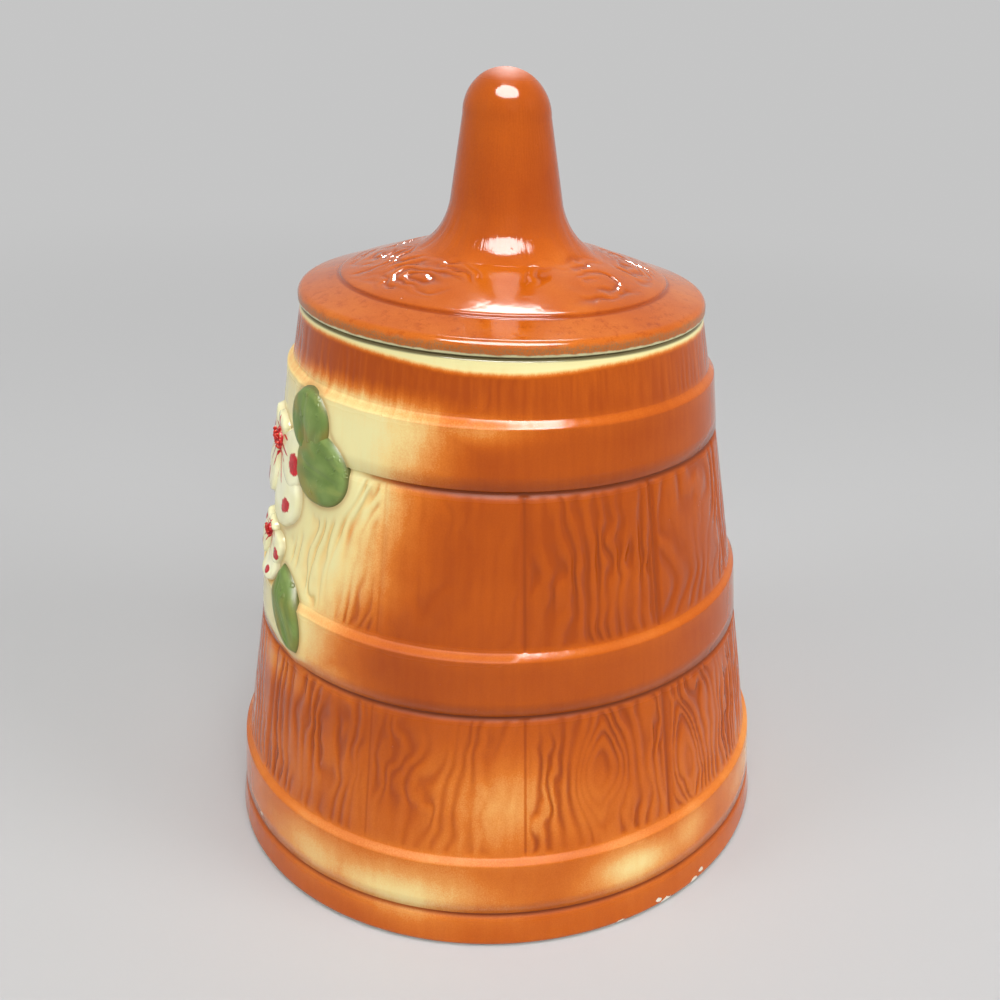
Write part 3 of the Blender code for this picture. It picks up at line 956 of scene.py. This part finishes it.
def petal_glaze():
    material, tree, place = new_material("petal_glaze")
    across, along, share, off_mark = painted(tree, "across", "along", "share", "off_mark")
    tone, thin = noise(place, 90.0).step(0.35, 0.65), noise(place, 700.0).step(0.3, 0.6)
    red = group_node(tree, brush_mark, Off_Mark=off_mark)["Mask"]
    for aside, reach in ((-0.26, 0.4), (0.02, 0.48), (0.25, 0.38)):
        red = red.maximum(stroke(across, along, aside, reach))
    # The brown rim is painted shade where the petals lap and meet the wall
    colour = layered(CREAM, (tone, DEEP_CREAM), (share.step(0.88, 1.0) * 0.32, PETAL_RIM),
                     (along.step(0.4, 0.05) * 0.3, PETAL_ROOT),
                     (red, layered(BRUSH_RED, (thin, DEEP_RED))))
    return fired(material, colour, 0.8, skin_share=0.2, relief=red * 0.12)


BOSS_RED = (150, 12, 24)
BOSS_BRIGHT = (206, 40, 44)
BOSS_PALE = (224, 190, 150)


def boss_glaze():
    material, _, place = new_material("boss_glaze")
    grain = noise(place, 800.0, 3.0)
    colour = layered(BOSS_RED, (grain.step(0.4, 0.52), BOSS_BRIGHT),
                     (grain.step(0.6, 0.7), BOSS_PALE))
    return fired(material, colour, 0.8, relief=grain * 0.8)


LEAF_GREEN = (106, 130, 62)
LEAF_LIGHT = (124, 146, 78)
LEAF_YELLOW = (146, 158, 84)
LEAF_BROWN = (158, 130, 56)
FOLD_GREEN = (74, 100, 40)
LEAF_RIM = (92, 74, 34)


def leaf_glaze():
    material, tree, place = new_material("leaf_glaze")
    across, along, share, number = painted(tree, "across", "along", "share", "number")
    cloud = noise(place, 120.0, 3.0)
    brushed = noise(vector(across * 1.5, along * 0.6, number * 3.1), 3.0)
    browned = noise(vector(across * 0.7, along * 0.5, number * 5.7), 2.0, 1.0)
    fan = across.arctan2(along + LEAF_STALK) * LEAF_FOLDS + LEAF_FOLD_START
    fold = (fan / math.tau).waves(3.0) * share.step(0.95, 0.55)
    rim = (share + (cloud - 0.5) * 0.05).step(0.93, 1.01)
    colour = layered(LEAF_GREEN, (cloud.step(0.34, 0.66), LEAF_LIGHT),
                     (brushed.step(0.5, 0.75) * 0.5, LEAF_YELLOW),
                     (browned.step(0.48, 0.7) * 0.55, LEAF_BROWN),
                     (fold * 0.35, FOLD_GREEN), (rim * 0.6, LEAF_RIM))
    lumps = noise(place, 330.0).step(0.6, 0.74)
    return fired(material, colour, dull=0.3, skin_share=0.3, relief=lumps * 0.35)


relief("petals", "petal", petal_glaze())
relief("leaves", "leaf", leaf_glaze())
relief("bosses", "boss", boss_glaze())


def stamen_tree(material):
    """Beads set in a sunflower pattern over a blossom's centre, on the round of the wall."""
    tree, size = new_tree("stamen_cluster", "GeometryNodeTree", {
        "Beads": float(STAMEN_BEADS), "Spread": STAMEN_SPREAD, "Bead Radius": STAMEN_BEAD,
        "Angle": 0.0, "Height": 0.0, "Wall Radius": 0.08, "Proud": PETAL_CROWN + 0.0006,
    })
    index = node(tree, "GeometryNodeInputIndex")
    turn = index * SUNFLOWER_TURN
    share = ((index + 0.5) / size["Beads"]).sqrt()
    around = size["Angle"] + turn.cosine() * share * size["Spread"] / size["Wall Radius"]
    radius = size["Wall Radius"] + size["Proud"] + share.less_from(1.0) * 0.0005
    place = vector(around.sine() * radius, around.cosine() * radius * -1.0,
                   size["Height"] + turn.sine() * share * size["Spread"])
    points = node(tree, "GeometryNodePoints", {"Count": size["Beads"], "Position": place})
    bead = node(tree, "GeometryNodeMeshIcoSphere",
                {"Radius": size["Bead Radius"], "Subdivisions": 2}, "Mesh")
    wobble = node(tree, "FunctionNodeRandomValue", {2: 0.75, 3: 1.2, "Seed": 5}, 1,
                  data_type="FLOAT")
    copies = node(tree, "GeometryNodeInstanceOnPoints",
                  {"Points": points, "Instance": bead, "Scale": wobble})
    return finish_tree(copies, material)


STAMEN_RED = (176, 22, 26)
STAMEN_BRIGHT = (222, 62, 44)


def stamen_glaze():
    material, _, place = new_material("stamen_glaze")
    cloud = noise(place, 420.0).step(0.38, 0.6)
    return fired(material, layered(STAMEN_RED, (cloud, STAMEN_BRIGHT)), 0.5)


def stamens():
    tree = stamen_tree(stamen_glaze())
    for number, (degrees, height, size, _) in enumerate(BLOSSOMS, 1):
        beads = made_by(tree, f"stamens_{number}", bpy.data.meshes.new("stamens"), {
            "Angle": math.radians(degrees), "Height": height, "Wall Radius": stave_radius(height),
            "Spread": STAMEN_SPREAD * size, "Bead Radius": STAMEN_BEAD * math.sqrt(size),
        })
        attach(beads, "jar")


stamens()

# The lid
# One hollow casting. The mould gives it a swirl of wood grain on the stepped disc, fine rings on
# the sloping margin and a plain tall knob. A ring under it drops into the jar's mouth.

SEAT = JAR_HEIGHT + 0.0003
LID_RIM = RIM_RADIUS + 0.0006
LID_RIM_HEIGHT = 0.005
LID_RIM_ROUND = 0.0028
LID_RIM_FOOT = 0.0006
LID_SLOPE = 0.0027
LID_WALL = 0.0045
DISC_EDGE = LID_RIM_HEIGHT + LID_SLOPE
DISC_RADIUS = 0.053
DISC_STEP = 0.0013
DISC_ROUND = 0.0008
DISC_CROWN = 0.0004
DISC_ROW = 0.00048
MARGIN_ROW = 0.0005
KNOB_ROW = 0.0012
HOLLOW_ROW = 0.005
KNOB_FOOT_RADIUS = 0.028
KNOB_FOOT_RISE = 0.0079
KNOB_BEND_RADIUS = 0.0204
KNOB_BEND_RISE = 0.004
KNOB_BEND = 0.02
KNOB_WAIST_RADIUS = 0.018
KNOB_WAIST_RISE = 0.014
KNOB_TIP_RADIUS = 0.0138
KNOB_HEIGHT = 0.0707
RING_RADIUS = RIM_RADIUS - WALL - 0.0014
RING_DEPTH = 0.011
RING_THICKNESS = 0.004
RING_ROUND = 0.0012
LID_COLUMNS = 560

# Eyes of the swirl: angle from the front, distance from the axis, and how much closer together
# the rings round it lie sideways and outwards
EYES = (
    (48.0, 0.0385, 0.58, 1.2),
    (133.0, 0.037, 0.52, 1.1),
    (2.0, 0.041, 0.6, 1.15),
    (184.0, 0.0385, 0.5, 1.25),
    (231.0, 0.0415, 0.6, 1.1),
    (268.0, 0.037, 0.45, 1.2),
    (319.0, 0.04, 0.55, 1.15),
)


def along_line(start, end, spacing):
    """Points on a line, from its start up to, but without, its end."""
    length = math.dist(start, end)
    return [tuple(a + (b - a) * way / length for a, b in zip(start, end))
            for way in stations(0.0, length, spacing)]


def bent_line(start, control, end, steps):
    """Points on a curve, from its start up to, but without, its end."""
    shares = [step / steps for step in range(steps)]
    return [tuple((1 - t) ** 2 * a + 2 * t * (1 - t) * b + t * t * c
                  for a, b, c in zip(start, control, end)) for t in shares]


def crown_line(inset, spacing):
    """Disc, flared foot, shaft and round end of the knob, from its foot up."""
    foot_height = DISC_EDGE + DISC_STEP + KNOB_FOOT_RISE
    slope = KNOB_FOOT_RISE / (DISC_RADIUS - KNOB_FOOT_RADIUS)
    foot = (KNOB_FOOT_RADIUS, foot_height - inset * math.hypot(1.0, slope))
    waist = (KNOB_WAIST_RADIUS - inset, foot_height + KNOB_WAIST_RISE)
    control = (KNOB_BEND_RADIUS - inset, foot[1] + KNOB_BEND_RISE)
    ball = KNOB_HEIGHT - KNOB_TIP_RADIUS
    tip = KNOB_TIP_RADIUS - inset
    profile = bent_line(foot, control, waist, round(KNOB_BEND / spacing))
    profile += along_line(waist, (tip, ball), spacing)
    return profile + arc((0.0, ball), tip, 0, 90, max(6, round(KNOB_BEND / spacing)))


def lid_underside():
    """From the hollow of the knob down and round the ring, to where the lid sits on the rim."""
    hollow = crown_line(LID_WALL, HOLLOW_ROW)[::-1]
    inner = RING_RADIUS - RING_THICKNESS
    slope = (hollow[-1][1] - (DISC_EDGE - LID_WALL)) / (inner - hollow[-1][0])
    profile = [(0.0, hollow[0][1])] + hollow[1:]
    profile.append((inner, hollow[-1][1] - slope * (inner - hollow[-1][0])))
    for middle, start in ((inner + RING_ROUND, 180), (RING_RADIUS - RING_ROUND, 270)):
        profile += arc((middle, RING_ROUND - RING_DEPTH), RING_ROUND, start, start + 90, 3)
    return profile + [(RING_RADIUS, 0.0)]


def lid_outside():
    """Rounded rim, sloping margin and stepped disc, up to the top of the knob."""
    profile = [(LID_RIM - LID_RIM_FOOT, 0.0), (LID_RIM, LID_RIM_FOOT)]
    round_start = LID_RIM_HEIGHT - LID_RIM_ROUND
    profile += along_line((LID_RIM, 2 * LID_RIM_FOOT), (LID_RIM, round_start), LID_RIM_FOOT)
    profile += arc((LID_RIM - LID_RIM_ROUND, round_start), LID_RIM_ROUND, 0, 76, 8)
    profile += along_line(profile[-1], (DISC_RADIUS + 0.001, DISC_EDGE), MARGIN_ROW)[1:]
    profile += [(DISC_RADIUS + 0.0005, DISC_EDGE), (DISC_RADIUS + 0.0001, DISC_EDGE + 0.0003)]
    profile += arc((DISC_RADIUS - DISC_ROUND, DISC_EDGE + DISC_STEP - DISC_ROUND), DISC_ROUND,
                   0, 70, 5)
    foot = (KNOB_FOOT_RADIUS, DISC_EDGE + DISC_STEP + KNOB_FOOT_RISE)
    for radius, height in along_line(profile[-1], foot, DISC_ROW)[1:]:
        share = (DISC_RADIUS - radius) / (DISC_RADIUS - KNOB_FOOT_RADIUS)
        profile.append((radius, height + 4.0 * DISC_CROWN * share * (1.0 - share)))
    return profile + crown_line(0.0, KNOB_ROW)[:-1] + [(0.0, KNOB_HEIGHT)]


def swirl_carving(material):
    """Rings round the eyes of the disc, which run into each other as grain does round knots."""
    tree, size = new_tree("swirl_carving", "GeometryNodeTree", {
        "Grain Pitch": 0.0034, "Grain Depth": 0.00026, "Wander": 0.011, "Seed": 9.0,
        "Flute Depth": 0.00014, "Line Pitch": 0.0019, "Line Depth": 0.00002,
        "Lump Depth": 0.0006,
    })
    disc, margin, flare = stored(tree, "disc", "margin", "flare")
    x, y, _, turn, radius = around_axis(node(tree, "GeometryNodeInputPosition"))
    drift = noise(vector(x, y, size["Seed"] * 0.01), 34.0, 1.5) - 0.5
    line = radius * 0.0 + 0.06
    for degrees, out, sideways, outwards in EYES:
        angle = math.radians(degrees)
        across = (x * math.cos(angle) + y * math.sin(angle)) * sideways
        beyond = (x * math.sin(angle) - y * math.cos(angle) - out) * outwards
        line = line.smooth_min((across * across + beyond * beyond).sqrt(), 0.005)
    uneven = noise(vector(x, y, 0.5), 130.0, 1.0) - 0.5
    phase = (line + drift * size["Wander"] * 2.0) / size["Grain Pitch"] + uneven * 1.9
    patchy = noise(vector(x, y, 0.9), 80.0, 1.0).step(0.4, 0.6) * 0.85 + 0.15
    aside = (turn - math.pi / 2).absolute().step(0.34, 0.62)
    carved = aside.maximum(radius.step(0.04, 0.033)) * disc
    depth = patchy * carved * line.step(0.0165, 0.0105)
    lumps = noise(vector(x, y, 0.2), 85.0, 1.0) * aside * disc * line.step(0.017, 0.011)
    flutes = ((turn * 21.0 + drift * 16.0) / math.tau).waves(2.0) * flare * patchy
    rings = ((radius + drift * 0.0015) / size["Line Pitch"]).waves(1.0) * margin * patchy
    sink = phase.waves(1.1) * depth * size["Grain Depth"] + rings * size["Line Depth"]
    sink = sink + lumps * size["Lump Depth"] + flutes * size["Flute Depth"]
    normal = parts_of(node(tree, "GeometryNodeInputNormal"))
    geometry = store(size["Geometry"], grain_phase=phase, grain_cut=depth)
    inward = vector(*(part * sink * -1.0 for part in normal))
    return finish_tree(shift(geometry, inward), material)


EDGE_BROWN = (150, 104, 62)
LID_CREAM = (206, 204, 158)


def lid_glaze():
    material, tree, place = new_material("lid_glaze")
    x, y, z, turn, radius = around_axis(place)
    up = z - SEAT
    phase, cut, outside = painted(tree, "grain_phase", "grain_cut", "outside")
    # The spray, and what gathers dark in the grain, at the disc's step and on the margin
    groove = phase.waves(1.8) * cut
    disc_step = radius.bell(DISC_RADIUS + 0.0004, 0.0006)
    cloud = noise(place, 30.0, 3.0) - 0.5
    streak = noise(vector(x * 3.0, y * 3.0, z * 0.25), 30.0) - 0.5
    thinned = radius.step(0.017, 0.032) * 0.12 + radius.step(0.052, 0.06) * 0.03
    spray = (cloud * 0.3 + streak * 0.16 + 0.92 - thinned) * outside
    mottle = noise(place, 300.0, 4.0, 0.7).step(0.5, 0.72) * radius.step(0.05, 0.056)
    dark = (groove * 0.3 + disc_step * 0.45 + mottle * 0.25).minimum(1.0)
    glaze = group_node(tree, sprayed_glaze, Spray=spray, Groove=dark * outside)
    # The worn brown edge, the cream band under it and painted shade at the very foot, where the lid
    # meets the rim
    ragged = noise(place, 260.0, 3.0) - 0.5
    edge = (up + ragged * 0.002).step(0.004, 0.0026) * outside
    under = (up + ragged * 0.001).step(0.0013, 0.0007) * outside
    specks = noise(place, 1900.0).step(0.42, 0.6)
    seam_shade = up.step(0.0006, 0.0002) * outside
    colour = layered(glaze["Color"], (edge * (specks * 0.6 + 0.3), EDGE_BROWN),
                     (under, LID_CREAM), (seam_shade * 0.8, SEAM_SHADE))
    # The top of the knob worn dull, and drawn streaks down its shaft
    worn = up.step(KNOB_HEIGHT - 0.005, KNOB_HEIGHT - 0.0006) * outside
    drawn = noise(vector(turn * 4.0, z * 26.0, 0.0), 6.0, 3.0)
    drawn = drawn * radius.step(0.03, 0.024) * radius.step(0.011, 0.015)
    return fired(material, colour, dull=edge * 0.15 + worn * 0.5, skin_share=0.3,
                 relief=drawn * 0.22 - groove * 0.35)


# What the carving goes by: where disc, margin and the flare of the knob rise and fall, by radius
LID_BANDS = {
    "disc": ((0.021, 0.028), (0.052, 0.047)),
    "margin": ((DISC_RADIUS + 0.0012, 0.056), (0.0655, 0.0625)),
    "flare": ((0.018, 0.0195), (0.032, 0.026)),
}


def jar_lid():
    """The lid with its disc, its margin and the flare of its knob marked for the carving."""
    under = lid_underside()
    profile = [(radius, height + SEAT) for radius, height in under + lid_outside()]
    mesh = spun_mesh("lid_casting", profile, np.arange(LID_COLUMNS) * math.tau / LID_COLUMNS)
    _, radius, _ = places_of(mesh)
    outside = np.arange(len(mesh.vertices)) // LID_COLUMNS >= len(under) - 1
    outside[-2] = False
    keep_values(mesh, outside=outside)
    for title, (rise, fall) in LID_BANDS.items():
        keep_values(mesh, **{title: within(rise, fall, radius) * outside})
    return made_by(swirl_carving(lid_glaze()), "lid_casting", mesh)


lid = jar_lid()
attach(lid, "lid")
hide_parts("lid")

# The studio
# A pale floor and broad soft boxes for the light. Three more lamps only show as highlights in the
# glaze. The camera stands where the photograph was taken from.

CAMERA_PLACE = (0.3746, 0.0, 0.2887)
CAMERA_TURN = (61.99495, -3.74503, 83.66947)
CAMERA_LENS = 40.28
CAMERA_SHIFT = (-0.149, 0.0737)
PALE_GREY = (0.56, 0.56, 0.56, 1.0)
SOFT_GREY = (0.3, 0.3, 0.3, 1.0)
FLOOR_GREY = (0.52, 0.52, 0.52, 1.0)
FLOOR_RADIUS = 6.0
FLOOR_FADE = (0.15, 1.2)


def add_camera():
    data = bpy.data.cameras.new("camera")
    data.lens = CAMERA_LENS
    data.sensor_width = 36.0
    data.shift_x, data.shift_y = CAMERA_SHIFT
    camera = added("camera", data)
    camera.location = CAMERA_PLACE
    camera.rotation_euler = [math.radians(degrees) for degrees in CAMERA_TURN]
    bpy.context.scene.camera = camera


# Lamps: name, place, the place that it points at, size, power, and whether the glaze mirrors it
LAMPS = (
    ("overhead", (0.4, 0.1, 2.6), (0.0, 0.0, 0.2), (1.5, 0.8), 33.0, False),
    ("front_fill", (2.2, 0.5, 1.5), (0.0, 0.0, 0.1), (1.5, 1.1), 22.0, False),
    ("side_left", (1.0, -2.2, 1.3), (0.0, 0.0, 0.1), (1.3, 1.3), 20.5, False),
    ("side_right", (1.0, 2.1, 1.4), (0.0, 0.0, 0.1), (1.3, 1.3), 27.0, False),
    ("window_front", (1.02, -0.04, 2.36), (0.0, 0.0, 0.2), (2.2, 1.4), 220.0, True),
    ("window_behind", (-1.22, 0.05, 2.23), (0.05, 0.0, 0.2), (0.98, 0.25), 16.0, True),
    ("gap_behind", (-1.92, 0.0, 1.7), (0.05, 0.0, 0.2), (0.26, 0.8), 40.0, True),
)


def add_lamp(name, place, aim, size, power, mirrored):
    """A soft box. One that is mirrored makes the highlights in the glaze, the others the light."""
    data = bpy.data.lights.new(name, "AREA")
    data.shape = "ELLIPSE"
    data.size, data.size_y = size
    data.energy = power
    lamp = added(name, data)
    lamp.location = place
    lamp.rotation_euler = (Vector(aim) - Vector(place)).to_track_quat("-Z", "Y").to_euler()
    lamp.visible_glossy, lamp.visible_diffuse = mirrored, not mirrored


def seen_or_mirrored(tree):
    """1 where the eye looks straight at the backdrop, or sees it in gloss or through glass."""
    rays = tree.nodes.new("ShaderNodeLightPath").outputs
    seen, gloss, glass = (Field(tree, rays[f"Is {kind} Ray"])
                          for kind in ("Camera", "Glossy", "Transmission"))
    return seen.maximum(gloss).maximum(glass)


def add_floor():
    """A wide plain floor, which fades into the surround away from the jar."""
    bm = bmesh.new()
    bmesh.ops.create_circle(bm, cap_ends=True, segments=128, radius=FLOOR_RADIUS)
    mesh = bpy.data.meshes.new("floor")
    bm.to_mesh(mesh)
    bm.free()
    material, tree, place = new_material("floor")
    shader = tree.nodes["Principled BSDF"]
    for title, plain in {"Base Color": FLOOR_GREY, "Roughness": 0.9,
                         "Specular IOR Level": 0.0}.items():
        shader.inputs[title].default_value = plain
    *_, radius = around_axis(place)
    paint = node(tree, "ShaderNodeMixShader", {
        0: radius.step(*FLOOR_FADE) * seen_or_mirrored(tree), 1: Field(tree, shader.outputs[0]),
        2: node(tree, "ShaderNodeEmission", {"Color": PALE_GREY}),
    })
    feed(tree.nodes["Material Output"].inputs["Surface"], paint)
    mesh.materials.append(material)
    added("floor", mesh)


def light_world():
    """A plain surround that lights softly and shows as the same pale grey as the far floor."""
    world = bpy.data.worlds.new("surround")
    bpy.context.scene.world = world
    world.use_nodes = True
    background = world.node_tree.nodes["Background"].inputs
    background["Strength"].default_value = 1.0
    feed(background["Color"], blend(seen_or_mirrored(world.node_tree), SOFT_GREY, PALE_GREY))


add_camera()
add_floor()
light_world()
for lamp in LAMPS:
    add_lamp(*lamp)
bpy.context.scene.view_settings.view_transform = "Standard"
